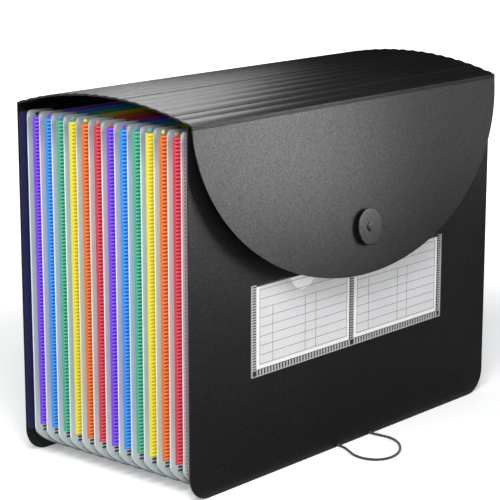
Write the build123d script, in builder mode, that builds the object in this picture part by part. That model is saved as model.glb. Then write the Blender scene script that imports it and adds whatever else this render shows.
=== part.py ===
"""Accordion file folder: two stiff covers, a bellows of coloured pockets between them,
a ribbed top that hinges from the back cover, and a round flap with a button and an elastic loop.

Millimetres. X runs along the covers, the front cover faces -Y, Z is up.
The origin is on the floor, under the middle of the folder's box without its elastic loop.
"""

import os
from math import atan2, cos, degrees, hypot, pi, radians, sin, tan

from build123d import *

# Covers
cover_width = 330.0
cover_height = 244.5
cover_corner = 17.5
sheet = 0.9

# Bellows: a fold stands out once in each pocket, and a divider sits between two pockets
pockets = 13
fold_pitch = 11.6
first_fold = 6.6
last_fold = 8.9
fold_depth = 18.0
fold_side_gap = 0.5
fold_floor_gap = 3.0
fold_corner = 14.0
valley_corner = 1.5
film = 0.35
bellows_top_drop = 4.0
divider_sheet = 0.6
divider_top_drop = 6.0
weld_clearance = 0.1
flange_edge_gap = 0.5

# Coloured weld margins on the front side of each fold
margin_sheet = 0.3
margin_start = 3.8
margin_end_gap = 1.0
margin_low = 22.0
margin_high = 235.8

# Ribbed top: an arch of ribs, hinged in panels between two end strips, with a scored band at each end
crease_band = 5.0
front_crease_band = 1.7
arch_rise = 11.65
strip_rib_count = 2
side_rib_count = 5
middle_rib_count = 4
rib_crown = 0.5
groove_half = 0.6
bead_radius = 0.75
bead_clearance = 0.1

# Flap and button
flap_gap = 3.4
flap_length = 120.0
flap_tilt = 5.5
button_drop = 87.5
button_radius = 12.7
button_thick = 1.6
button_edge = 0.6
button_stand_off = 2.1
rivet_shank_radius = 1.6
rivet_collar_radius = 3.4
rivet_head_radius = 3.4
rivet_head_height = 1.0
rivet_head_edge = 0.8
rivet_back_radius = 5.0
rivet_back_height = 0.7
rivet_clearance = 0.1

# Label pocket and its two cards
label_half_width = 106.0
label_low = 71.0
label_high = 133.0
label_film = 0.35
label_weld = 4.5
label_notch_radius = 14.8
label_notch_rise = 3.6
card_sheet = 0.35
card_clearance = 0.15
card_side_gap = 0.4
card_top_drop = 1.5

# Elastic loop on the floor, held by a bar at each end behind the front cover
cord_diameter = 1.8
cord_floor_gap = 0.05
cord_left_x = -13.0
cord_right_x = 23.5
cord_notch_clearance = 0.35
bar_radius = 1.0
bar_length = 9.0
bar_clearance = 0.1
fillet_share = 0.45

# Places that follow from the sizes
half_width = cover_width / 2
depth = first_fold + (pockets - 1) * fold_pitch + last_fold
tilt = radians(flap_tilt)
button_lift = sheet / 2 + button_stand_off
button_top = button_lift + button_thick
rivet_top = button_top + rivet_head_height


def reach(top, radius, edge):
    """How far before the flap's hang line a round head comes, with its rounded rim."""
    return (top - edge) * cos(tilt) + (radius - edge) * sin(tilt) + edge


disc_reach = reach(button_top, button_radius, button_edge)
rivet_reach = reach(rivet_top, rivet_head_radius, rivet_head_edge)
button_reach = flap_gap + button_drop * sin(tilt) + max(disc_reach, rivet_reach)
bead_bulge = bead_radius - sheet / 2
front_face = (button_reach - depth - bead_bulge) / 2
front_inside = front_face + sheet
back_face = front_face + depth
back_inside = back_face - sheet
back_middle = back_face - sheet / 2
fold_half_width = half_width - fold_side_gap
bellows_top = cover_height - bellows_top_drop
divider_top = cover_height - divider_top_drop
film_width = film * hypot(fold_pitch / 2, fold_depth) / (fold_pitch / 2)
seat_radius = bead_radius + bead_clearance
lift_axis = (back_middle, cover_height - crease_band)
rear_axis = (back_middle, cover_height)
front_axis = (front_face - flap_gap, cover_height)
rib_count = 2 * strip_rib_count + 2 * side_rib_count + middle_rib_count
fold_y = [front_face + first_fold + fold_pitch * n for n in range(pockets)]
divider_y = [(fold_y[n] + fold_y[n + 1]) / 2 for n in range(pockets - 1)]
flap_axis = (
    front_axis[0] - front_crease_band * sin(tilt),
    front_axis[1] - front_crease_band * cos(tilt),
)
flap_plane = Plane(
    origin=(0, flap_axis[0], flap_axis[1]),
    x_dir=(1, 0, 0),
    z_dir=(0, -cos(tilt), sin(tilt)),
)
button_drop_on_flap = button_drop - front_crease_band

os.makedirs("parts", exist_ok=True)


def keep(piece, name):
    """Label a finished piece and write it under its name."""
    piece.part.label = name
    export_step(piece.part, f"parts/{name}.step")


def wall(y):
    """The upright plane across the folder at this depth, with X to the right and Z up."""
    return Plane.XZ.offset(-y)


def draw_sheet(half, low, high, corner):
    """A sheet standing on edge, with round corners at its foot."""
    with BuildLine() as outline:
        left = Line((-half, high), (-half, low + corner))
        foot_left = RadiusArc(left @ 1, (-half + corner, low), -corner)
        foot = Line(foot_left @ 1, (half - corner, low))
        foot_right = RadiusArc(foot @ 1, (half, low + corner), -corner)
        right = Line(foot_right @ 1, (half, high))
        Line(right @ 1, left @ 0)
    make_face(outline.edges())


def draw_fold(inset, high):
    """The bellows' outline at one depth of its folds: inset 0 is the crest."""
    corner = max(fold_corner - inset, valley_corner)
    draw_sheet(fold_half_width - inset, fold_floor_gap + inset, high, corner)


def loft_fold(y_valley, y_crest, inset, high, mode):
    """One half of a fold, from the valley at a sheet to the crest."""
    with BuildSketch(wall(y_valley)) as valley:
        draw_fold(fold_depth + inset, high)
    with BuildSketch(wall(y_crest)) as crest:
        draw_fold(inset, high)
    loft([valley.sketch, crest.sketch], ruled=True, mode=mode)


# Front cover, with a notch in its foot for each end of the elastic loop
cord_radius = cord_diameter / 2
cord_z = cord_radius + cord_floor_gap
notch_radius = cord_radius + cord_notch_clearance
with BuildPart() as front_cover:
    with BuildSketch(wall(front_face)):
        draw_sheet(half_width, 0, cover_height, cover_corner)
        for cord_x in (cord_left_x, cord_right_x):
            with Locations((cord_x, cord_z)):
                Circle(notch_radius, mode=Mode.SUBTRACT)
            with Locations((cord_x, cord_z / 2)):
                Rectangle(2 * notch_radius, cord_z, mode=Mode.SUBTRACT)
    extrude(amount=-sheet)
keep(front_cover, "front_cover")

# Back cover, with the round seat of the top's hinge along its upper edge
with BuildPart() as back_cover:
    with BuildSketch(wall(back_face)):
        draw_sheet(half_width, 0, lift_axis[1], cover_corner)
    extrude(amount=sheet)
    with BuildSketch(Plane.YZ):
        with Locations(lift_axis):
            Circle(seat_radius)
    extrude(amount=half_width, both=True, mode=Mode.SUBTRACT)
keep(back_cover, "back_cover")


def hinge_band(start, end):
    """A flat scored band with a hinge bead at its start and a round seat at its end."""
    angle = atan2(end[1] - start[1], end[0] - start[0])
    length = hypot(end[0] - start[0], end[1] - start[1])
    middle = ((start[0] + end[0]) / 2, (start[1] + end[1]) / 2)
    with BuildPart() as band:
        with BuildSketch(Plane.YZ):
            with Locations(Location((*middle, 0), (0, 0, degrees(angle)))):
                Rectangle(length, sheet)
            with Locations(start):
                Circle(bead_radius)
            with Locations(end):
                Circle(seat_radius, mode=Mode.SUBTRACT)
        extrude(amount=half_width, both=True)
    return band


rear_crease = hinge_band(lift_axis, rear_axis)
keep(rear_crease, "rear_crease")
front_crease = hinge_band(front_axis, flap_axis)
keep(front_crease, "front_crease")

# Ribbed top: the grooves between ribs lie on one arc from the rear crease to the front crease
arch_span = rear_axis[0] - front_axis[0]
arch_radius = (arch_span**2 / 4 + arch_rise**2) / (2 * arch_rise)
arch_middle = (rear_axis[0] + front_axis[0]) / 2
arch_centre = (arch_middle, cover_height + arch_rise - arch_radius)
arch_half_angle = atan2(arch_span / 2, arch_radius - arch_rise)
rib_angle = 2 * arch_half_angle / rib_count
groove_share = groove_half / (arch_radius * rib_angle)


def on_arch(ribs_from_rear, lift):
    """A point on the arch after this many ribs, lifted off its middle line."""
    angle = arch_half_angle - rib_angle * ribs_from_rear
    swing = arch_radius + lift
    return (arch_centre[0] + swing * sin(angle), arch_centre[1] + swing * cos(angle))


def ribbed_panel(first, last):
    """Ribs between flat grooves: round crowns above, flat facets below, a bead and a seat at the ends."""
    grooves = range(first, last + 1)
    with BuildPart() as panel:
        with BuildSketch(Plane.YZ):
            with BuildLine():
                for rib in range(first, last):
                    foot = on_arch(rib + groove_share, sheet / 2)
                    crown = on_arch(rib + 1 / 2, sheet / 2 + rib_crown)
                    far_foot = on_arch(rib + 1 - groove_share, sheet / 2)
                    Line(on_arch(rib, sheet / 2), foot)
                    ThreePointArc(foot, crown, far_foot)
                    Line(far_foot, on_arch(rib + 1, sheet / 2))
                Line(on_arch(last, sheet / 2), on_arch(last, -sheet / 2))
                Polyline(*[on_arch(groove, -sheet / 2) for groove in reversed(grooves)])
                Line(on_arch(first, -sheet / 2), on_arch(first, sheet / 2))
            make_face()
            with Locations(on_arch(first, 0)):
                Circle(bead_radius)
            with Locations(on_arch(last, 0)):
                Circle(seat_radius, mode=Mode.SUBTRACT)
        extrude(amount=half_width, both=True)
    return panel


first_rib = 0
for name, ribs in (
    ("top_strip_rear", strip_rib_count),
    ("top_panel_rear", side_rib_count),
    ("top_panel_middle", middle_rib_count),
    ("top_panel_front", side_rib_count),
    ("top_strip_front", strip_rib_count),
):
    keep(ribbed_panel(first_rib, first_rib + ribs), name)
    first_rib += ribs

# Flap: a half ellipse that hangs from its own bead, with a hole for the rivet
with BuildPart() as flap:
    with BuildSketch(flap_plane.offset(-sheet / 2)):
        with BuildLine():
            curve = EllipticalCenterArc(
                (0, 0), half_width, flap_length - front_crease_band, start_angle=180, arc_size=180
            )
            Line(curve @ 1, curve @ 0)
        make_face()
        with Locations((0, -button_drop_on_flap)):
            Circle(rivet_shank_radius + rivet_clearance, mode=Mode.SUBTRACT)
    extrude(amount=sheet)
    with BuildSketch(Plane.YZ):
        with Locations(flap_axis):
            Circle(bead_radius)
    extrude(amount=half_width, both=True)
keep(flap, "flap")

# Button disc, held off the flap so that the loop can hook behind it
with BuildPart() as button_disc:
    with BuildSketch(flap_plane.offset(button_lift)):
        with Locations((0, -button_drop_on_flap)):
            Circle(button_radius)
            Circle(rivet_shank_radius + rivet_clearance, mode=Mode.SUBTRACT)
    extrude(amount=button_thick)
    outer_rim = button_disc.edges().filter_by(GeomType.CIRCLE).group_by(SortBy.RADIUS)[-1]
    fillet(outer_rim, button_edge)
keep(button_disc, "button_disc")


def rivet_step(start, radius, height):
    """One round step of the rivet, from this height above the flap's middle."""
    with BuildSketch(flap_plane.offset(start)) as step:
        with Locations((0, -button_drop_on_flap)):
            Circle(radius)
    extrude(step.sketch, amount=height)


# Rivet: a flat head behind the flap, a collar before it and a round head on the disc
with BuildPart() as button_rivet:
    rivet_step(-sheet / 2 - rivet_back_height, rivet_back_radius, rivet_back_height)
    rivet_step(-sheet / 2, rivet_shank_radius, sheet / 2 + button_top)
    rivet_step(sheet / 2, rivet_collar_radius, button_stand_off)
    rivet_step(button_top, rivet_head_radius, rivet_head_height)
    head_face = button_rivet.faces().sort_by(Axis(flap_plane.origin, flap_plane.z_dir))[-1]
    fillet(head_face.edges(), rivet_head_edge)
keep(button_rivet, "button_rivet")

# Dividers: coloured sheets between the pockets, from valley to valley
for number, y in enumerate(divider_y, start=1):
    with BuildPart() as divider:
        with BuildSketch(wall(y + divider_sheet / 2)):
            draw_fold(fold_depth, divider_top)
        extrude(amount=divider_sheet)
    keep(divider, f"divider_{number:02d}")


def side_flange(y, high, toward_front):
    """Two film flanges welded flat on a cover, beside the bellows."""
    low = fold_floor_gap + fold_corner
    outer = half_width - flange_edge_gap
    inner = fold_half_width - fold_depth - film_width / 2
    across = (inner + outer) / 2
    upright = (low + high) / 2
    with BuildSketch(wall(y)) as flanges:
        with Locations((across, upright), (-across, upright)):
            Rectangle(outer - inner, high - low)
    extrude(flanges.sketch, amount=film if toward_front else -film)


# Gussets: one folded film round the sides and foot of each pocket
sheet_gap = divider_sheet / 2 + weld_clearance
rear_flange_top = min(bellows_top, lift_axis[1] - seat_radius - weld_clearance)
valley_y = [front_inside + weld_clearance] + divider_y + [back_inside - weld_clearance]
for number, crest in enumerate(fold_y, start=1):
    first_pocket = number == 1
    last_pocket = number == pockets
    front_valley = valley_y[number - 1] + (0 if first_pocket else sheet_gap)
    rear_valley = valley_y[number] - (0 if last_pocket else sheet_gap)
    open_top = bellows_top + film_width
    with BuildPart() as gusset:
        loft_fold(front_valley, crest, 0, bellows_top, Mode.ADD)
        loft_fold(rear_valley, crest, 0, bellows_top, Mode.ADD)
        loft_fold(front_valley, crest, film_width, open_top, Mode.SUBTRACT)
        loft_fold(rear_valley, crest, film_width, open_top, Mode.SUBTRACT)
        if first_pocket:
            side_flange(front_valley, bellows_top, False)
        if last_pocket:
            side_flange(rear_valley, rear_flange_top, True)
            with BuildSketch(Plane.YZ):
                with Locations((lift_axis[0], (rear_flange_top + open_top) / 2)):
                    Rectangle(2 * (seat_radius + weld_clearance), open_top - rear_flange_top)
            extrude(amount=half_width, both=True, mode=Mode.SUBTRACT)
    keep(gusset, f"gusset_{number:02d}")


# Coloured margins: a strip on each side, welded along the front of every fold but the first
for number, y in enumerate(divider_y, start=1):
    crest = fold_y[number]
    run = crest - (y + sheet_gap)
    slope = hypot(run, fold_depth)
    off_x = run / slope
    off_y = fold_depth / slope
    margin_end = fold_depth - margin_end_gap
    corners = []
    for inset, lift in (
        (margin_start, weld_clearance),
        (margin_end, weld_clearance),
        (margin_end, weld_clearance + margin_sheet),
        (margin_start, weld_clearance + margin_sheet),
    ):
        along_y = crest - run * inset / fold_depth
        corners.append((fold_half_width - inset + off_x * lift, along_y - off_y * lift))
    with BuildPart() as margin:
        with BuildSketch(Plane.XY.offset(margin_low)):
            with BuildLine():
                Polyline(*corners, close=True)
            make_face()
        extrude(amount=margin_high - margin_low)
        mirror(about=Plane.YZ)
    keep(margin, f"weld_margin_{number:02d}")

# Label pocket: clear film held off the front cover by welds at its sides, middle and foot
card_room = card_sheet + 2 * card_clearance
label_middle = (label_low + label_high) / 2
label_height = label_high - label_low
with BuildPart() as label_pocket:
    with BuildSketch(wall(front_face - card_room)):
        with Locations((0, label_middle)):
            Rectangle(2 * label_half_width, label_height)
        with Locations(
            (-label_half_width / 2, label_high + label_notch_rise),
            (label_half_width / 2, label_high + label_notch_rise),
        ):
            Circle(label_notch_radius, mode=Mode.SUBTRACT)
    extrude(amount=label_film)
    with BuildSketch(wall(front_face)):
        for weld_x in (label_weld / 2 - label_half_width, 0, label_half_width - label_weld / 2):
            with Locations((weld_x, label_middle)):
                Rectangle(label_weld, label_height)
        with Locations((0, label_low + label_weld / 2)):
            Rectangle(2 * label_half_width, label_weld)
    extrude(amount=card_room)
keep(label_pocket, "label_pocket")

# Label cards, standing in the two halves of the pocket
card_inner = label_weld / 2 + card_side_gap
card_outer = label_half_width - label_weld - card_side_gap
card_low = label_low + label_weld + card_clearance
card_high = label_high - card_top_drop
for side, name in ((-1, "label_card_left"), (1, "label_card_right")):
    with BuildPart() as card:
        with BuildSketch(wall(front_face - card_clearance)):
            with Locations((side * (card_inner + card_outer) / 2, (card_low + card_high) / 2)):
                Rectangle(card_outer - card_inner, card_high - card_low)
        extrude(amount=card_sheet)
    keep(card, name)

# Elastic loop: straight runs joined by arcs, lying on the floor in front of the folder
cord_start_y = sheet + bar_clearance
cord_route = [
    (cord_left_x, cord_start_y),
    (cord_left_x, -4.6),
    (-17.2, -12.6),
    (-22.4, -21.2),
    (-23.7, -31.6),
    (-19.0, -40.6),
    (-9.2, -44.0),
    (2.4, -41.8),
    (13.9, -34.7),
    (21.6, -25.7),
    (24.7, -16.2),
    (cord_right_x, -7.4),
    (cord_right_x, cord_start_y),
]
cord_points = [Vector(x, front_face + y, cord_z) for x, y in cord_route]
cord_runs = [cord_points[n + 1] - cord_points[n] for n in range(len(cord_points) - 1)]
cord_radii = []
for before, after in zip(cord_runs, cord_runs[1:]):
    half_turn = radians(before.get_angle(after)) / 2
    cord_radii.append(fillet_share * min(before.length, after.length) / tan(half_turn))
print("cord radii, mm:", [round(radius, 1) for radius in cord_radii])
with BuildPart() as cord:
    with BuildLine() as cord_path:
        FilletPolyline(*cord_points, radius=cord_radii)
    with BuildSketch(wall(front_face + cord_start_y)):
        with Locations((cord_left_x, cord_z)):
            Circle(cord_radius)
    sweep(path=cord_path.wires()[0])
cord_length = cord_path.wires()[0].length
cord_share = cord.part.volume / (cord_length * pi * cord_radius**2)
print("cord length, mm:", round(cord_length, 1), "volume share:", round(cord_share, 4))
keep(cord, "cord")

# End bars: a crimped bar across each end of the loop, behind the front cover
bar_y = front_inside + bar_clearance + bar_radius
with BuildPart() as end_bars:
    for cord_x in (cord_left_x, cord_right_x):
        with BuildSketch(Plane.YZ.offset(cord_x - bar_length / 2)):
            with Locations((bar_y, bar_radius + cord_floor_gap)):
                Circle(bar_radius)
        extrude(amount=bar_length)
    with BuildSketch(wall(front_inside + bar_clearance)):
        with Locations((cord_left_x, cord_z), (cord_right_x, cord_z)):
            Circle(cord_radius)
    extrude(amount=-bar_radius)
keep(end_bars, "cord_end_bars")

print("front face at y =", round(front_face, 3), "depth =", round(depth, 3))
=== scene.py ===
"""Accordion file folder: the finish of every piece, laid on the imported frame.

Metres, in the frame's axes: X runs along the covers, the front cover faces -Y, Z is up.
"""

import math

import bmesh
import bpy
from mathutils import Matrix, Vector


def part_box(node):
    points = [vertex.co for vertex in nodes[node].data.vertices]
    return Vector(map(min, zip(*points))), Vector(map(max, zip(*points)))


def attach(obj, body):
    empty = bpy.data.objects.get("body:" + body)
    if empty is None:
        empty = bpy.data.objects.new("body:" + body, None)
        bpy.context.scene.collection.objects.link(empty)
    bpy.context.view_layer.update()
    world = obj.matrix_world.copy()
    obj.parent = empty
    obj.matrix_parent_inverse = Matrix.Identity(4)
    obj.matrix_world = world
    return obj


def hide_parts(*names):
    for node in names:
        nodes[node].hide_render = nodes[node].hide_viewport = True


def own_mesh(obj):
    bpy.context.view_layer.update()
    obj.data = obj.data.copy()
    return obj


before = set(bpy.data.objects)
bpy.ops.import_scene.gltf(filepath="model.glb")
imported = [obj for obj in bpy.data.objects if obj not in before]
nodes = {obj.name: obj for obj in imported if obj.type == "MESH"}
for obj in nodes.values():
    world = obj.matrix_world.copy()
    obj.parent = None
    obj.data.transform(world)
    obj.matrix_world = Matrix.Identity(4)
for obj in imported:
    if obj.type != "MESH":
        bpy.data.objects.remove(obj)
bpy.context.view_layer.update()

scene = bpy.context.scene
scene.view_settings.view_transform = "Standard"
mm = 0.001

# Camera at the photograph's angle
camera_data = bpy.data.cameras.new("camera")
camera_data.sensor_width = 36
camera_data.lens = 131.67
camera = bpy.data.objects.new("camera", camera_data)
camera.location = (-0.97396, -0.82163, 0.41962)
camera.rotation_euler = Vector((0.73616, 0.63915, -0.22262)).to_track_quat("-Z", "Y").to_euler()
scene.collection.objects.link(camera)
scene.camera = camera

# Sizes that the film and the welds share with the solids
front_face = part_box("front_cover")[0].y
front_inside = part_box("front_cover")[1].y
back_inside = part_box("back_cover")[0].y
pockets = 13
fold_pitch = 11.6 * mm
first_fold = 6.6 * mm
fold_depth = 18 * mm
fold_half_width = 164.5 * mm
fold_floor = 3 * mm
valley_corner = 1.5 * mm
film = 0.35 * mm
bellows_top = 240.5 * mm
rear_flange_top = 238.5 * mm
divider_sheet = 0.6 * mm
weld_clearance = 0.1 * mm
margin_low = 22 * mm
margin_high = 235.8 * mm
margin_start = 3.8 * mm
margin_end = 17 * mm
margin_sheet = 0.3 * mm
fold_y = [front_face + first_fold + fold_pitch * n for n in range(pockets)]
divider_y = [(fold_y[n] + fold_y[n + 1]) / 2 for n in range(pockets - 1)]
sheet_gap = divider_sheet / 2 + weld_clearance

# Small forms of the film; the insets are its columns, in from the crest
insets = [inset * mm for inset in (17.6, 17.4, 17, 16.5, 14, 10, 7, 4.8, 3.4, 2.4, 1.6, 0.9, 0.4)]
top_row = 8 * mm
crest_round = 4 * mm
valley_round = 1.5 * mm
rear_drop = 2.6 * mm
foot_corner_x = 22 * mm
foot_corner_z = 15 * mm
foot_slant = 1.6
foot_steps = 10
merge_reach = 0.01 * mm
sharp_angle = math.radians(40)
flange_low = 17 * mm
flange_reach = 12 * mm
flange_corner = 3 * mm
flange_steps = 5

# Small forms of the welds: rungs, the dot above them and the dashes below
rung_count = 88
rung_start = 5.6 * mm
rung_end = 10.4 * mm
rung_half = 0.25
rung_rise = 0.2 * mm
rung_pitch = (margin_high - margin_low) / rung_count
dot_sides = 14
dot_foot_radius = 1.35 * mm
dot_top_radius = 1.0 * mm
dot_height = 0.4 * mm
dot_shift = 1.0 * mm
dot_above = 1.7 * mm
dot_out = 0.25 * mm
dash_drops = (1.8 * mm, 4.2 * mm)
dash_long = 3.2 * mm
dash_wide = 1.1 * mm
dash_thick = 0.3 * mm
dash_shift = 0.8 * mm
dash_out = 0.2 * mm
dash_edge = 0.1 * mm
dot_slot = 1
dash_slot = 2

display_white = 255


def tone(red, green, blue):
    """A colour written as it is seen, 0 to 255, as the shader's linear one."""
    parts = []
    for part in (red, green, blue):
        share = part / display_white
        parts.append(share / 12.92 if share <= 0.04045 else ((share + 0.055) / 1.055) ** 2.4)
    return (*parts, 1.0)


# Node helpers
def feed(tree, socket, value):
    """Give a socket a constant or another node's output."""
    if isinstance(value, bpy.types.NodeSocket):
        tree.links.new(value, socket)
    else:
        socket.default_value = value


def place(tree, kind, settings=(), **inputs):
    """Add a node with its settings and inputs."""
    node = tree.nodes.new(kind)
    for name, value in dict(settings).items():
        setattr(node, name, value)
    for name, value in inputs.items():
        feed(tree, node.inputs[name.replace("_", " ")], value)
    return node


def calc(tree, operation, *values):
    """One step of arithmetic."""
    node = place(tree, "ShaderNodeMath", {"operation": operation})
    for socket, value in zip(node.inputs, values):
        feed(tree, socket, value)
    return node.outputs[0]


def span(tree, value, low, high, start=0.0, end=1.0):
    """Carry a value from one range to another, held at the ends."""
    node = place(tree, "ShaderNodeMapRange")
    names = ("Value", "From Min", "From Max", "To Min", "To Max")
    for name, number in zip(names, (value, low, high, start, end)):
        feed(tree, node.inputs[name], number)
    return node.outputs["Result"]


def off_step(tree, value, pitch):
    """How far a value lies from the middle of its step, as a share of the pitch."""
    step = calc(tree, "FRACT", calc(tree, "DIVIDE", value, pitch))
    return calc(tree, "ABSOLUTE", calc(tree, "SUBTRACT", step, 0.5))


# Places of the share and the colours among a mix node's sockets
mix_share = 0
mix_first = 6
mix_second = 7
mix_result = 2


def blend_tones(tree, share, first, second):
    """Mix two colours by a share."""
    node = place(tree, "ShaderNodeMix", {"data_type": "RGBA"})
    feed(tree, node.inputs[mix_share], share)
    feed(tree, node.inputs[mix_first], first)
    feed(tree, node.inputs[mix_second], second)
    return node.outputs[mix_result]


def own_place(tree):
    """The piece's own coordinates."""
    return place(tree, "ShaderNodeTexCoord").outputs["Object"]


def own_axes(tree):
    """The piece's own X, Y and Z, by name."""
    return place(tree, "ShaderNodeSeparateXYZ", Vector=own_place(tree)).outputs


def kept_value(tree, name):
    """A value kept on the mesh's points."""
    return place(tree, "ShaderNodeAttribute", {"attribute_name": name}).outputs


def start_group(name, inputs, outputs):
    """An empty shader group with its named sockets."""
    group = bpy.data.node_groups.new(name, "ShaderNodeTree")
    for socket in inputs:
        group.interface.new_socket(socket, in_out="INPUT", socket_type="NodeSocketFloat")
    for socket in outputs:
        group.interface.new_socket(socket, in_out="OUTPUT", socket_type="NodeSocketFloat")
    return group, place(group, "NodeGroupInput").outputs, place(group, "NodeGroupOutput").inputs


def use_group(tree, group, **inputs):
    """Place a group in a material with its own values."""
    return place(tree, "ShaderNodeGroup", {"node_tree": group}, **inputs).outputs


def start_material(name):
    """An empty material with its shader."""
    material = bpy.data.materials.new(name)
    material.use_nodes = True
    tree = material.node_tree
    tree.nodes.clear()
    shader = place(tree, "ShaderNodeBsdfPrincipled")
    place(tree, "ShaderNodeOutputMaterial", Surface=shader.outputs[0])
    return material, tree, shader


def bump(tree, height, depth, strength):
    """A surface relief of this depth."""
    return place(tree, "ShaderNodeBump", Height=height, Distance=depth, Strength=strength).outputs[0]


def grained(tree, shader, marks, smooth, rough, relief, strength):
    """Uneven gloss between two roughnesses, over a relief of this depth."""
    feed(tree, shader.inputs["Roughness"], span(tree, marks["Sand"], 0, 1, smooth, rough))
    feed(tree, shader.inputs["Normal"], bump(tree, marks["Height"], relief, strength))


def showing_rays(tree):
    """One where a thing is looked at: by the camera, in gloss or through clear film."""
    rays = place(tree, "ShaderNodeLightPath").outputs
    bent = calc(tree, "MAXIMUM", rays["Is Glossy Ray"], rays["Is Transmission Ray"])
    return calc(tree, "MAXIMUM", rays["Is Camera Ray"], bent)


def dress(name, finish):
    """Give one of the frame's solids its finish."""
    nodes[name].data.materials.clear()
    nodes[name].data.materials.append(finish)


# Grain of pressed sheet: sand at the given size, with slow clouds over it
noise_range = (0.3, 0.7)
grain_group, ins, outs = start_group("sheet_grain", ["Size"], ["Sand", "Cloud", "Speck", "Height"])
grain_where = own_place(grain_group)
grain_scale = calc(grain_group, "DIVIDE", 1, ins["Size"])
sand = place(grain_group, "ShaderNodeTexNoise", Vector=grain_where, Scale=grain_scale, Detail=2.0)
cloud = place(grain_group, "ShaderNodeTexNoise", Vector=grain_where, Scale=14.0, Detail=3.0)
specks = place(grain_group, "ShaderNodeTexVoronoi", Vector=grain_where, Scale=grain_scale)
speck = place(grain_group, "ShaderNodeSeparateXYZ", Vector=specks.outputs["Color"]).outputs["X"]
feed(grain_group, outs["Sand"], span(grain_group, sand.outputs[0], *noise_range))
feed(grain_group, outs["Cloud"], span(grain_group, cloud.outputs[0], *noise_range))
feed(grain_group, outs["Speck"], speck)
feed(grain_group, outs["Height"], calc(grain_group, "ADD", sand.outputs[0], specks.outputs["Distance"]))

# Ladder of a heat weld: rungs between two distances from the crest, a pitch apart along the height
rung_inner = 0.22
rung_outer = 0.3
ladder_group, ins, outs = start_group(
    "weld_ladder", ["Across", "Along", "Start", "End", "Pitch"], ["Rung", "Gap"]
)
past_start = calc(ladder_group, "GREATER_THAN", ins["Across"], ins["Start"])
short_of_end = calc(ladder_group, "LESS_THAN", ins["Across"], ins["End"])
inside = calc(ladder_group, "MULTIPLY", past_start, short_of_end)
wave = off_step(ladder_group, ins["Along"], ins["Pitch"])
on_rung = span(ladder_group, wave, rung_outer, rung_inner)
off_rung = span(ladder_group, wave, rung_inner, rung_outer)
feed(ladder_group, outs["Rung"], calc(ladder_group, "MULTIPLY", inside, on_rung))
feed(ladder_group, outs["Gap"], calc(ladder_group, "MULTIPLY", inside, off_rung))

# Pressed plastic sheet
speck_share = 0.6
smoother = 0.06
rougher = 0.08


def sheet_plastic(name, deep, light, grain, rough, relief, specular=0.5, glint=0.8):
    """Pressed plastic sheet: grained colour, uneven gloss and a sand relief."""
    material, tree, shader = start_material(name)
    marks = use_group(tree, grain_group, Size=grain)
    sanded = calc(tree, "MULTIPLY", marks["Speck"], speck_share)
    mottled = calc(tree, "ADD", sanded, calc(tree, "MULTIPLY", marks["Cloud"], 1 - speck_share))
    feed(tree, shader.inputs["Base Color"], blend_tones(tree, mottled, deep, light))
    sparkle = blend_tones(tree, marks["Speck"], (glint, glint, glint, 1), (1, 1, 1, 1))
    feed(tree, shader.inputs["Specular Tint"], sparkle)
    grained(tree, shader, marks, smooth=rough - smoother, rough=rough + rougher, relief=relief, strength=0.6)
    shader.inputs["Specular IOR Level"].default_value = specular
    return material


cover_sheet = sheet_plastic(
    "cover_sheet",
    tone(10, 10, 11),
    tone(19, 19, 20),
    grain=0.6 * mm,
    rough=0.46,
    relief=0.04 * mm,
    specular=0.3,
    glint=0.3,
)
button_plastic = sheet_plastic(
    "button_plastic",
    tone(13, 13, 14),
    tone(17, 17, 18),
    grain=0.5 * mm,
    rough=0.3,
    relief=0.004 * mm,
    specular=0.42,
    glint=0.9,
)
navy_film = sheet_plastic(
    "navy_film",
    tone(34, 34, 72),
    tone(46, 46, 88),
    grain=1.2 * mm,
    rough=0.45,
    relief=0.05 * mm,
    specular=0.25,
)
# Near-black sheet on the dashes below each margin and on the last dot: painted shade of the dark inside
# showing through
painted_shade_film = sheet_plastic(
    "painted_shade_film", tone(20, 20, 22), tone(38, 38, 40), grain=0.5 * mm, rough=0.4, relief=0.05 * mm
)

# Six colours: their dividers, their weld margins and the dots that show through above the margins
strip_tones = {
    "red": (232, 80, 98),
    "orange": (246, 134, 62),
    "yellow": (250, 234, 64),
    "green": (92, 196, 162),
    "blue": (72, 168, 248),
    "purple": (146, 88, 246),
}
colour_order = list(strip_tones)
divider_shade = 0.86
dot_shade = 0.8
margin_shade = 0.95
deep_share = 0.3
deep_strength = 0.82
# Rungs painted paler: a painted highlight on the raised ladder
rung_highlight_paleness = 0.12
tint_paleness = 0.35
last_tint = tone(160, 168, 172)


def darker(colour, share):
    """A display colour with this share of its strength."""
    return tuple(part * share for part in colour)


def deeper(colour):
    """A display colour multiplied by itself, darker and deeper; a share of it goes over the whole margin,
    and it is the painted shade in the gaps between the rungs.
    """
    return tuple(deep_strength * part * part / display_white for part in colour)


def paler(colour, share):
    """A display colour this share of the way to white."""
    return tuple(part + (display_white - part) * share for part in colour)


def colour_of(number):
    """The colour of a divider, counted from the front."""
    return colour_order[(number - 1) % len(colour_order)]


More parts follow.
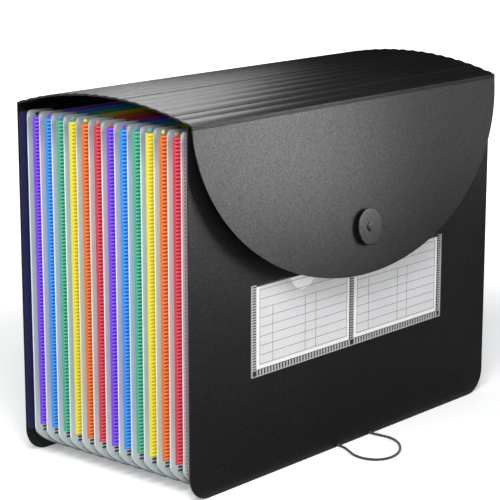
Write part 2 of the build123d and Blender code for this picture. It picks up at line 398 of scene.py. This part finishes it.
divider_finish = {}
margin_finish = {}
dot_finish = {}
for colour, seen in strip_tones.items():
    light = tone(*seen)
    divider_deep = tone(*darker(seen, divider_shade))
    divider_finish[colour] = sheet_plastic(
        f"divider_{colour}", divider_deep, light, grain=0.8 * mm, rough=0.42, relief=0.05 * mm
    )
    dot_deep = tone(*darker(seen, dot_shade))
    dot_finish[colour] = sheet_plastic(
        f"weld_dot_{colour}", dot_deep, light, grain=0.4 * mm, rough=0.35, relief=0.03 * mm
    )
    material, tree, shader = start_material(f"weld_margin_{colour}")
    across = kept_value(tree, "across")["Fac"]
    along = calc(tree, "SUBTRACT", own_axes(tree)["Z"], margin_low)
    ladder = use_group(
        tree, ladder_group, Across=across, Along=along, Start=rung_start, End=rung_end, Pitch=rung_pitch
    )
    marks = use_group(tree, grain_group, Size=0.7 * mm)
    sanded = blend_tones(tree, marks["Sand"], tone(*darker(seen, margin_shade)), light)
    plain = blend_tones(tree, deep_share, sanded, tone(*deeper(seen)))
    # Painted shade in the gaps between the raised rungs, then a painted highlight on the rungs
    gap_shaded = blend_tones(tree, ladder["Gap"], plain, tone(*deeper(seen)))
    raised = blend_tones(tree, ladder["Rung"], gap_shaded, tone(*paler(seen, rung_highlight_paleness)))
    feed(tree, shader.inputs["Base Color"], raised)
    grained(tree, shader, marks, smooth=0.3, rough=0.42, relief=0.04 * mm, strength=0.5)
    margin_finish[colour] = material

# Milky film, faintly tinted by the sheet behind. Its colour also carries painted light: a painted highlight
# along the folded crest, painted shade that makes it greyer inwards towards the valley and at the top under
# the ribbed top, painted shade where the crest turns under at the foot, and painted light that makes the
# foot paler
# Crest tones: a painted highlight along the fold, with painted shade where it turns under at the foot and at
# the top
crest_highlight_tone = tone(222, 226, 227)
crest_foot_shade_tone = tone(92, 98, 101)
crest_top_shade_tone = tone(150, 155, 157)
# Body tones: greyer inwards towards the valley and at the top, painted shade; paler at the foot, painted
# light
near_crest_tone = tone(156, 163, 168)
inward_shade_tone = tone(134, 142, 149)
film_foot_light_tone = tone(176, 184, 184)
film_top_shade_tone = tone(118, 124, 128)
film_dot_tone = tone(120, 78, 78)
crest_highlight_fade = (0.4 * mm, 1.0 * mm)
inward_shade_fade = (0.8 * mm, 5.0 * mm)
foot_fade = (14 * mm, 60 * mm)
crest_foot_fade = (17 * mm, 21 * mm)
top_fade = (214 * mm, 238 * mm)
veil_range = (0.08, 0.18)
film_dot_pitch = 2.44 * mm
film_dot_inset = 2.7 * mm
film_dot_along = (0.18, 0.3)
film_dot_across = (0.35 * mm, 0.55 * mm)


def milky_film(name, dotted):
    """Folded film; the dotted one has a line of weld dots where it meets the front cover."""
    material, tree, shader = start_material(name)
    across = kept_value(tree, "across")["Fac"]
    tint = kept_value(tree, "tint")["Color"]
    inset = calc(tree, "ABSOLUTE", across)
    marks = use_group(tree, grain_group, Size=1.1 * mm)
    height = own_axes(tree)["Z"]
    # Painted shade: greyer inwards, away from the crest towards the valley
    body = blend_tones(tree, span(tree, inset, *inward_shade_fade), near_crest_tone, inward_shade_tone)
    # Painted light: paler towards the foot
    raised = span(tree, height, *foot_fade)
    foot_lit = blend_tones(tree, raised, film_foot_light_tone, body)
    veil = calc(tree, "MULTIPLY", raised, span(tree, marks["Cloud"], 0, 1, *veil_range))
    tinted = blend_tones(tree, veil, foot_lit, tint)
    # Painted shade: greyer at the top, under the ribbed top
    crowned = span(tree, height, *top_fade)
    top_shaded = blend_tones(tree, crowned, tinted, film_top_shade_tone)
    # Painted highlight along the crest, darkened by painted shade towards the foot and the top
    crest_highlight_share = span(tree, inset, *crest_highlight_fade, 1.0, 0.0)
    upright = span(tree, height, *crest_foot_fade)
    crest = blend_tones(tree, upright, crest_foot_shade_tone, crest_highlight_tone)
    crest_top_shaded = blend_tones(tree, crowned, crest, crest_top_shade_tone)
    surface = blend_tones(tree, crest_highlight_share, top_shaded, crest_top_shaded)
    if dotted:
        along_dot = span(tree, off_step(tree, height, film_dot_pitch), *film_dot_along, 1.0, 0.0)
        beside = calc(tree, "ABSOLUTE", calc(tree, "ADD", across, film_dot_inset))
        across_dot = span(tree, beside, *film_dot_across, 1.0, 0.0)
        dot = calc(tree, "MULTIPLY", along_dot, across_dot)
        surface = blend_tones(tree, dot, surface, film_dot_tone)
    feed(tree, shader.inputs["Base Color"], surface)
    grained(tree, shader, marks, smooth=0.34, rough=0.48, relief=0.05 * mm, strength=0.4)
    shader.inputs["Subsurface Weight"].default_value = 0.15
    shader.inputs["Subsurface Radius"].default_value = (2 * mm, 2 * mm, 2 * mm)
    return material


fold_film = milky_film("fold_film", False)
first_fold_film = milky_film("first_fold_film", True)


# Mesh helpers
def own_piece(name, form, finishes):
    """Turn a finished bmesh into a piece at the origin with its finishes."""
    mesh = bpy.data.meshes.new(name)
    form.to_mesh(mesh)
    form.free()
    for finish in finishes:
        mesh.materials.append(finish)
    piece = bpy.data.objects.new(name, mesh)
    scene.collection.objects.link(piece)
    return piece


def round_over(distance, radius):
    """How far a rounded corner drops at this distance from its edge."""
    if distance >= radius:
        return 0.0
    return radius - math.sqrt(radius**2 - (radius - distance) ** 2)


def pull(form, edges, shift):
    """Extrude a line of edges and move the new line; gives the new edges."""
    made = bmesh.ops.extrude_edge_only(form, edges=edges)["geom"]
    points = [part for part in made if isinstance(part, bmesh.types.BMVert)]
    bmesh.ops.translate(form, verts=points, vec=shift)
    return [
        part
        for part in made
        if isinstance(part, bmesh.types.BMEdge) and part.verts[0] in points and part.verts[1] in points
    ]


def both_sides(form, merge):
    """Mirror the left side to the right, and turn all faces outwards."""
    bmesh.ops.mirror(form, geom=form.verts[:] + form.edges[:] + form.faces[:], axis="X", merge_dist=merge)
    if merge:
        bmesh.ops.remove_doubles(form, verts=form.verts[:], dist=merge / 2)
    bmesh.ops.recalc_face_normals(form, faces=form.faces[:])


# Bellows: one folded film to a pocket
fold_columns = [-inset for inset in insets] + [0.0] + insets[::-1]
spin_radius = fold_depth + valley_corner


def folded_film(name, front_y, crest_y, rear_y, finish, tint, drop):
    """One pocket's film: down the left side, round the corner, along the foot, and mirrored."""
    form = bmesh.new()
    across = form.verts.layers.float.new("across")
    line = []
    for place_across in fold_columns:
        inset = abs(place_across)
        run = (front_y if place_across < 0 else rear_y) - crest_y
        point = form.verts.new((inset - fold_half_width, crest_y + run * inset / fold_depth, bellows_top))
        point[across] = place_across
        line.append(point)
    edges = [form.edges.new(pair) for pair in zip(line, line[1:])]
    corner_z = fold_floor + spin_radius
    lower = pull(form, edges, (0, 0, -top_row))
    lower = pull(form, lower, (0, 0, corner_z - bellows_top + top_row))
    for point in line:
        inset = abs(point[across])
        point.co.z -= round_over(inset, crest_round) + round_over(fold_depth - inset, valley_round)
        if point[across] > 0:
            point.co.z -= drop * inset / fold_depth
    turned = bmesh.ops.spin(
        form,
        geom=list(dict.fromkeys(point for edge in lower for point in edge.verts)) + lower,
        cent=(spin_radius - fold_half_width, crest_y, corner_z),
        axis=(0, -1, 0),
        angle=math.pi / 2,
        steps=foot_steps,
        use_duplicate=False,
    )["geom_last"]
    foot = [part for part in turned if isinstance(part, bmesh.types.BMEdge)]
    for point in form.verts:
        left = spin_radius - fold_half_width - point.co.x
        down = corner_z - point.co.z
        if left > -film and down > film:
            inset = abs(point[across])
            share = 1 - inset / fold_depth
            wide = valley_corner + (foot_corner_x - valley_corner) * share
            tall = valley_corner + (foot_corner_z - valley_corner) * share
            angle = math.atan2(down, left)
            point.co.x = inset - fold_half_width + wide * (1 - max(math.cos(angle), 0) ** foot_slant)
            point.co.z = fold_floor + inset + tall * (1 - max(math.sin(angle), 0) ** foot_slant)
    for edge in pull(form, foot, (0, 0, 0)):
        for point in edge.verts:
            point.co.x = 0
    both_sides(form, merge_reach)
    outer = min(form.faces, key=lambda face: face.calc_center_median().x)
    if outer.normal.x > 0:
        bmesh.ops.reverse_faces(form, faces=form.faces[:])
    for face in form.faces:
        face.smooth = True
    colour = form.verts.layers.float_color.new("tint")
    for point in form.verts:
        point[colour] = tint
    piece = own_piece(name, form, [finish])
    piece.data.set_sharp_from_angle(angle=sharp_angle)
    wall = piece.modifiers.new("film", "SOLIDIFY")
    wall.thickness = film
    wall.offset = -1
    return piece


valley_y = [front_inside + weld_clearance] + divider_y + [back_inside - weld_clearance]
for number, crest_y in enumerate(fold_y, start=1):
    front_y = valley_y[number - 1] + (0 if number == 1 else sheet_gap)
    rear_y = valley_y[number] - (0 if number == pockets else sheet_gap)
    colour = strip_tones[colour_of(number)]
    tint = tone(*paler(colour, tint_paleness)) if number < pockets else last_tint
    finish = first_fold_film if number == 1 else fold_film
    drop = rear_drop if number == pockets else 0.0
    piece = folded_film(f"fold_{number:02d}", front_y, crest_y, rear_y, finish, tint, drop)
    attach(piece, "front")
    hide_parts(f"gusset_{number:02d}")
    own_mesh(piece)


def weld_strip(name, y, crest_y, finishes):
    """A coloured margin with its ladder, the dot above it and the two bare rungs below it, on both sides."""
    run = crest_y - (y + sheet_gap)
    slope = math.hypot(run, fold_depth)
    stretch = slope / fold_depth
    along_slope = Vector((fold_depth, -run, 0)) / slope
    up = Vector((0, 0, 1))
    out = along_slope.cross(up)
    on_slope = Matrix((along_slope, up, out)).transposed().to_4x4()
    on_slope.translation = (-fold_half_width, crest_y, 0)
    form = bmesh.new()
    across = form.verts.layers.float.new("across")
    top = weld_clearance + margin_sheet
    columns = [margin_start, rung_start, rung_end, margin_end]
    line = [form.verts.new((inset * stretch, margin_low, top)) for inset in columns]
    edges = [form.edges.new(pair) for pair in zip(line, line[1:])]
    pull(form, edges, (0, margin_high - margin_low, 0))
    uprights = [edge for edge in form.edges if abs(edge.verts[0].co.y - edge.verts[1].co.y) > margin_low]
    bmesh.ops.subdivide_edges(form, edges=uprights, cuts=2 * rung_count - 1, use_grid_fill=True)
    rungs = []
    for face in form.faces:
        middle = face.calc_center_median()
        step = (middle.y - margin_low) / rung_pitch % 1
        if rung_start < middle.x / stretch < rung_end and abs(step - 0.5) <= rung_half:
            rungs.append(face)
    form.faces.ensure_lookup_table()
    form.normal_update()
    if form.faces[0].normal.z < 0:
        bmesh.ops.reverse_faces(form, faces=form.faces[:])
    bmesh.ops.inset_individual(
        form, faces=rungs, thickness=rung_rise, depth=rung_rise, use_even_offset=True
    )
    rim = [edge for edge in form.edges if edge.is_boundary]
    bmesh.ops.edgeloop_fill(form, edges=pull(form, rim, (0, 0, -margin_sheet)))
    middle_rung = (rung_start + rung_end) / 2 * stretch
    dot = bmesh.ops.create_cone(
        form,
        cap_ends=True,
        segments=dot_sides,
        radius1=dot_foot_radius,
        radius2=dot_top_radius,
        depth=dot_height,
        matrix=Matrix.Translation((middle_rung - dot_shift, margin_high + dot_above, dot_out)),
    )["verts"]
    for face in {face for point in dot for face in point.link_faces}:
        face.material_index = dot_slot
    for below in dash_drops:
        dash_place = Matrix.Translation((middle_rung - dash_shift, margin_low - below, dash_out))
        dash_size = Matrix.Diagonal((dash_long, dash_wide, dash_thick, 1))
        dash = bmesh.ops.create_cube(form, size=1, matrix=dash_place @ dash_size)["verts"]
        faces = {face for point in dash for face in point.link_faces}
        for face in faces:
            face.material_index = dash_slot
        rim = [edge for edge in form.edges if faces.intersection(edge.link_faces)]
        bmesh.ops.bevel(
            form, geom=rim, offset=dash_edge, affect="EDGES", segments=2, profile=0.5, material=-1
        )
    for point in form.verts:
        point[across] = point.co.x / stretch
    bmesh.ops.transform(form, matrix=on_slope, verts=form.verts[:])
    both_sides(form, 0)
    return own_piece(name, form, finishes)


for number, y in enumerate(divider_y, start=1):
    colour = colour_of(number)
    # The last dot, with no divider behind it, takes the near-black sheet of painted shade
    behind = dot_finish[colour_of(number + 1)] if number < pockets - 1 else painted_shade_film
    finishes = [margin_finish[colour], behind, painted_shade_film]
    piece = weld_strip(f"margin_{number:02d}", y, fold_y[number], finishes)
    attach(piece, "front")
    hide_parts(f"weld_margin_{number:02d}")
    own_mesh(piece)
    dress(f"divider_{number:02d}", divider_finish[colour])


def cover_flange(name, y, high, body, finish):
    """The film's two flat flanges on a cover's inner face, with round corners."""
    form = bmesh.new()
    size = Matrix.Diagonal((flange_reach, film, high - flange_low, 1))
    middle = Matrix.Translation((flange_reach / 2 - fold_half_width, y, (high + flange_low) / 2))
    bmesh.ops.create_cube(form, size=1, matrix=middle @ size)
    corners = [edge for edge in form.edges if abs(edge.verts[0].co.y - edge.verts[1].co.y) > film / 2]
    bmesh.ops.bevel(
        form,
        geom=corners,
        offset=flange_corner,
        affect="EDGES",
        segments=flange_steps,
        profile=0.5,
        material=-1,
    )
    both_sides(form, 0)
    piece = own_piece(name, form, [finish])
    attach(piece, body)


cover_flange("rear_flange", back_inside - weld_clearance - film / 2, rear_flange_top, "back", navy_film)
cover_flange("front_flange", front_inside + weld_clearance + film / 2, bellows_top, "front", navy_film)

# Clear label film: a ladder of weld ticks round two windows, and a faint veil over the cards
label_half_width = 106 * mm
label_low = 71 * mm
label_weld = 4.5 * mm
label_rim = 0.7 * mm
window_side = 3.2 * mm
window_low = 2.6 * mm
foot_tick_pitch = 3.06 * mm
side_tick_pitch = 1.846 * mm
tick_range = (0.2, 0.3)
tick_cover = (0.02, 0.8)
veil_cover = (0.11, 0.14)
rim_cover = 0.6
film_cover = 0.04
clear_film, tree, shader = start_material("clear_film")
axes = own_axes(tree)
from_middle = calc(tree, "ABSOLUTE", axes["X"])
side_weld = calc(tree, "GREATER_THAN", from_middle, label_half_width - label_weld)
middle_weld = calc(tree, "LESS_THAN", from_middle, label_weld / 2)
foot_weld = calc(tree, "LESS_THAN", axes["Z"], label_low + label_weld)
upright_weld = calc(tree, "MAXIMUM", side_weld, middle_weld)
weld = calc(tree, "MAXIMUM", upright_weld, foot_weld)
foot_tick = span(tree, off_step(tree, axes["X"], foot_tick_pitch), *tick_range)
side_tick = span(tree, off_step(tree, axes["Z"], side_tick_pitch), *tick_range)
above_foot = calc(tree, "SUBTRACT", 1, foot_weld)
foot_ticks = calc(tree, "MULTIPLY", foot_weld, foot_tick)
side_ticks = calc(tree, "MULTIPLY", above_foot, side_tick)
tick = calc(tree, "ADD", foot_ticks, side_ticks)
side_rim = calc(tree, "GREATER_THAN", from_middle, label_half_width - label_rim)
foot_rim = calc(tree, "LESS_THAN", axes["Z"], label_low + label_rim)
rim_line = calc(tree, "MAXIMUM", side_rim, foot_rim)
past_middle = calc(tree, "GREATER_THAN", from_middle, label_weld / 2 + window_side)
short_of_side = calc(tree, "LESS_THAN", from_middle, label_half_width - label_weld - window_side)
over_foot = calc(tree, "GREATER_THAN", axes["Z"], label_low + label_weld + window_low)
window = calc(tree, "MULTIPLY", calc(tree, "MULTIPLY", past_middle, short_of_side), over_foot)
marks = use_group(tree, grain_group, Size=0.8 * mm)
off_corner = calc(tree, "SUBTRACT", 1, calc(tree, "MULTIPLY", upright_weld, foot_weld))
ticked = calc(tree, "MULTIPLY", tick, off_corner)
tick_alpha = calc(tree, "MULTIPLY", weld, span(tree, ticked, 0, 1, *tick_cover))
veil_alpha = calc(tree, "MULTIPLY", window, span(tree, marks["Cloud"], 0, 1, *veil_cover))
rim_alpha = calc(tree, "MAXIMUM", calc(tree, "MULTIPLY", rim_line, rim_cover), film_cover)
alpha = calc(tree, "MAXIMUM", calc(tree, "MAXIMUM", tick_alpha, veil_alpha), rim_alpha)
feed(tree, shader.inputs["Base Color"], blend_tones(tree, weld, tone(150, 150, 152), tone(206, 206, 206)))
feed(tree, shader.inputs["Alpha"], alpha)
feed(tree, shader.inputs["Roughness"], span(tree, marks["Sand"], 0, 1, 0.12, 0.2))
dress("label_pocket", clear_film)

# Printed form on the cards: nine rules across and three short lines down, inside a thin frame
card_edges = {"left": -97.9 * mm, "right": 6.0 * mm}
card_low = 78.8 * mm
card_width = 92.4 * mm
rule_pitch = 6.3 * mm
rule_rows = 8
rule_half = 0.18 * mm
line_half = 0.22 * mm
frame_half = 0.25 * mm
full_rows = 9
short_rows = 6
short_lines = (13.3 * mm, 47 * mm, 58.4 * mm)
lines_down = [(0, full_rows), *((line, short_rows) for line in short_lines), (card_width, full_rows)]
rules_group, ins, outs = start_group("card_rules", ["Left", "Low", "Width"], ["Ink"])
axes = own_axes(rules_group)
from_left = calc(rules_group, "SUBTRACT", axes["X"], ins["Left"])
from_low = calc(rules_group, "SUBTRACT", axes["Z"], ins["Low"])
right_edge = calc(rules_group, "ADD", ins["Width"], frame_half)
past_left = calc(rules_group, "GREATER_THAN", from_left, -frame_half)
short_of_right = calc(rules_group, "LESS_THAN", from_left, right_edge)
past_low = calc(rules_group, "GREATER_THAN", from_low, -frame_half)
short_of_high = calc(rules_group, "LESS_THAN", from_low, rule_rows * rule_pitch + frame_half)
in_width = calc(rules_group, "MULTIPLY", past_left, short_of_right)
in_height = calc(rules_group, "MULTIPLY", past_low, short_of_high)
panel = calc(rules_group, "MULTIPLY", in_width, in_height)
row_off = off_step(rules_group, calc(rules_group, "ADD", from_low, rule_pitch / 2), rule_pitch)
ink = calc(rules_group, "LESS_THAN", row_off, rule_half / rule_pitch)
for line, rows in lines_down:
    beside = calc(rules_group, "ABSOLUTE", calc(rules_group, "SUBTRACT", from_left, line))
    near = calc(rules_group, "LESS_THAN", beside, line_half)
    under = calc(rules_group, "LESS_THAN", from_low, rows * rule_pitch)
    ink = calc(rules_group, "MAXIMUM", ink, calc(rules_group, "MULTIPLY", near, under))
feed(rules_group, outs["Ink"], calc(rules_group, "MULTIPLY", ink, panel))

for side, left in card_edges.items():
    material, tree, shader = start_material(f"ruled_card_{side}")
    print_marks = use_group(tree, rules_group, Left=left, Low=card_low, Width=card_width)
    marks = use_group(tree, grain_group, Size=0.4 * mm)
    paper = blend_tones(tree, marks["Sand"], tone(238, 238, 238), tone(248, 248, 248))
    printed = blend_tones(tree, print_marks["Ink"], paper, tone(112, 112, 114))
    feed(tree, shader.inputs["Base Color"], printed)
    grained(tree, shader, marks, smooth=0.7, rough=0.85, relief=0.02 * mm, strength=0.4)
    dress(f"label_card_{side}", material)

# Covers, top, flap and button keep their solids
for name in (
    "front_cover",
    "back_cover",
    "rear_crease",
    "top_strip_rear",
    "top_panel_rear",
    "top_panel_middle",
    "top_panel_front",
    "top_strip_front",
    "front_crease",
    "flap",
):
    dress(name, cover_sheet)
for name in ("button_disc", "button_rivet"):
    dress(name, button_plastic)

# Elastic loop on the floor, woven, between its two crimped bars
elastic, tree, shader = start_material("woven_elastic")
where = own_place(tree)
weave = place(tree, "ShaderNodeTexVoronoi", Vector=where, Scale=2400.0)
twist = place(
    tree, "ShaderNodeTexWave", {"bands_direction": "DIAGONAL"}, Vector=where, Scale=520.0, Distortion=1.5
)
strands = span(tree, weave.outputs[0], 0.0, 0.7, 1.0, 0.4)
threads = calc(tree, "MULTIPLY", strands, twist.outputs["Fac"])
feed(tree, shader.inputs["Base Color"], blend_tones(tree, threads, tone(26, 26, 27), tone(78, 78, 80)))
feed(tree, shader.inputs["Roughness"], span(tree, threads, 0, 1, 0.85, 0.6))
feed(tree, shader.inputs["Normal"], bump(tree, threads, 0.15 * mm, 0.8))
shader.inputs["Sheen Weight"].default_value = 0.2

bar_metal, tree, shader = start_material("crimped_bar")
marks = use_group(tree, grain_group, Size=0.6 * mm)
brushed = blend_tones(tree, marks["Sand"], tone(150, 152, 155), tone(196, 198, 200))
feed(tree, shader.inputs["Base Color"], brushed)
grained(tree, shader, marks, smooth=0.25, rough=0.42, relief=0.03 * mm, strength=0.4)
shader.inputs["Metallic"].default_value = 1.0
dress("cord_end_bars", bar_metal)

# The loop's route and height in mm; the route is measured from the front face
cord_radius = 0.9 * mm
cord_height = 0.95
cord_route = [
    (-13, 1.0),
    (-13, -4.6),
    (-17.2, -12.6),
    (-22.4, -21.2),
    (-23.7, -31.6),
    (-19, -40.6),
    (-9.2, -44),
    (2.4, -41.8),
    (13.9, -34.7),
    (21.6, -25.7),
    (24.7, -16.2),
    (23.5, -7.4),
    (23.5, 1.0),
]
cord_curve = bpy.data.curves.new("elastic_loop", "CURVE")
cord_curve.dimensions = "3D"
cord_curve.resolution_u = 12
cord_curve.bevel_depth = cord_radius
cord_curve.bevel_resolution = 4
cord_curve.use_fill_caps = True
cord_spline = cord_curve.splines.new("NURBS")
cord_spline.points.add(len(cord_route) - 1)
for point, (x, y) in zip(cord_spline.points, cord_route):
    point.co = (x * mm, front_face + y * mm, cord_height * mm, 1)
cord_spline.order_u = 3
cord_spline.use_endpoint_u = True
cord_curve.materials.append(elastic)
elastic_loop = bpy.data.objects.new("elastic_loop", cord_curve)
scene.collection.objects.link(elastic_loop)
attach(elastic_loop, "front")
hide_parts("cord")

# White floor that keeps a soft shadow near the folder and is plain white further out
floor_fade = (0.35, 0.8)
floor_glow = (0.22, 1.0)
floor_half = 6
floor_paint, tree, shader = start_material("pale_floor")
where = own_place(tree)
away = place(tree, "ShaderNodeVectorMath", {"operation": "LENGTH"})
tree.links.new(where, away.inputs[0])
far = span(tree, away.outputs["Value"], *floor_fade)
paper = place(tree, "ShaderNodeTexNoise", Vector=where, Scale=40.0)
whites = blend_tones(tree, paper.outputs[0], tone(246, 246, 246), tone(250, 250, 250))
feed(tree, shader.inputs["Base Color"], whites)
shader.inputs["Roughness"].default_value = 0.9
shader.inputs["Specular IOR Level"].default_value = 0.0
glow = place(tree, "ShaderNodeEmission", Color=(1, 1, 1, 1))
glow_level = calc(tree, "MULTIPLY", showing_rays(tree), span(tree, far, 0, 1, *floor_glow))
feed(tree, glow.inputs["Strength"], glow_level)
floor_sum = place(tree, "ShaderNodeAddShader")
tree.links.new(shader.outputs[0], floor_sum.inputs[0])
tree.links.new(glow.outputs[0], floor_sum.inputs[1])
tree.links.new(floor_sum.outputs[0], tree.nodes["Material Output"].inputs["Surface"])
form = bmesh.new()
bmesh.ops.create_grid(form, x_segments=4, y_segments=4, size=floor_half)
floor = own_piece("floor", form, [floor_paint])

# Pale room with a white backdrop
world = bpy.data.worlds.new("studio")
scene.world = world
world.use_nodes = True
tree = world.node_tree
tree.nodes.clear()
room = place(tree, "ShaderNodeBackground", Color=(0.95, 0.97, 1, 1), Strength=0.5)
backdrop = place(tree, "ShaderNodeBackground", Color=(1, 1, 1, 1), Strength=1.0)
sky = place(tree, "ShaderNodeMixShader")
feed(tree, sky.inputs[0], showing_rays(tree))
tree.links.new(room.outputs[0], sky.inputs[1])
tree.links.new(backdrop.outputs[0], sky.inputs[2])
place(tree, "ShaderNodeOutputWorld", Surface=sky.outputs[0])


# Soft lamps at the upper left, beside the camera and at the left side, and four that show only in gloss
def lamp(name, where, aim, size, power, sheen_only=False, spread=180):
    """A square soft lamp that looks at a point; one for sheen alone shows only in gloss."""
    data = bpy.data.lights.new(name, "AREA")
    data.size = size
    data.energy = power
    data.spread = math.radians(spread)
    light = bpy.data.objects.new(name, data)
    light.location = where
    light.rotation_euler = (Vector(aim) - Vector(where)).to_track_quat("-Z", "Y").to_euler()
    light.visible_camera = False
    light.visible_diffuse = not sheen_only
    scene.collection.objects.link(light)


lamp("key_lamp", (-0.75, -0.55, 0.95), aim=(-0.1, -0.02, 0.15), size=0.5, power=12)
lamp("fill_lamp", (-0.85, -0.85, 0.4), aim=(-0.08, -0.05, 0.15), size=0.4, power=2.2)
lamp("side_lamp", (-1.1, 0.15, 0.25), aim=(-0.16, 0.0, 0.08), size=0.5, power=0.6)
for name, where, aim, size, power, spread in (
    ("flap_sheen", (0.11, -0.31, 0.25), (-0.13, -0.08, 0.22), 0.18, 0.35, 70),
    ("flap_glow", (0.36, -0.31, 0.24), (0.12, -0.075, 0.2), 0.2, 0.065, 60),
    ("top_sheen", (0.02, 0.1, 0.42), (-0.15, -0.04, 0.255), 0.14, 0.16, 110),
    ("crease_sheen", (0.38, -0.165, 0.53), (0.05, -0.07, 0.245), 0.15, 0.15, 180),
):
    lamp(name, where, aim, size, power, sheen_only=True, spread=spread)


# Cards that only gloss sees: a grey one before the front cover, and two dark ones against the pale room
def card_felt(name, deep, light):
    """Matt felt between two tones."""
    material, tree, shader = start_material(name)
    nap = place(tree, "ShaderNodeTexNoise", Vector=own_place(tree), Scale=90.0)
    feed(tree, shader.inputs["Base Color"], blend_tones(tree, nap.outputs[0], deep, light))
    shader.inputs["Roughness"].default_value = 1.0
    shader.inputs["Specular IOR Level"].default_value = 0.0
    return material


def flag(name, finish, middle, across, up):
    """A flat card about a point, with its full width and height as vectors."""
    form = bmesh.new()
    spread = Matrix((across, up, Vector(across).cross(Vector(up)))).transposed().to_4x4()
    bmesh.ops.create_grid(
        form, x_segments=1, y_segments=1, size=0.5, matrix=Matrix.Translation(middle) @ spread
    )
    card = own_piece(name, form, [finish])
    card.visible_camera = False
    card.visible_diffuse = False
    card.visible_shadow = False
    card.visible_transmission = False


dark_felt = card_felt("dark_felt", tone(2, 2, 2), tone(6, 6, 6))
grey_felt = card_felt("grey_felt", tone(172, 172, 172), tone(180, 180, 180))
flag("front_card", grey_felt, (0.08, -0.42325, 0.22475), across=(0.66, 0, 0), up=(0, -0.7035, 0.4485))
flag("rear_card", dark_felt, (0.355, -0.107, 0.4), across=(0.394, -0.453, 0), up=(0, 0, 0.8))
flag("low_card", dark_felt, (0.1225, 0.1615, 0.165), across=(0.075, -0.087, 0), up=(0, 0, 0.33))
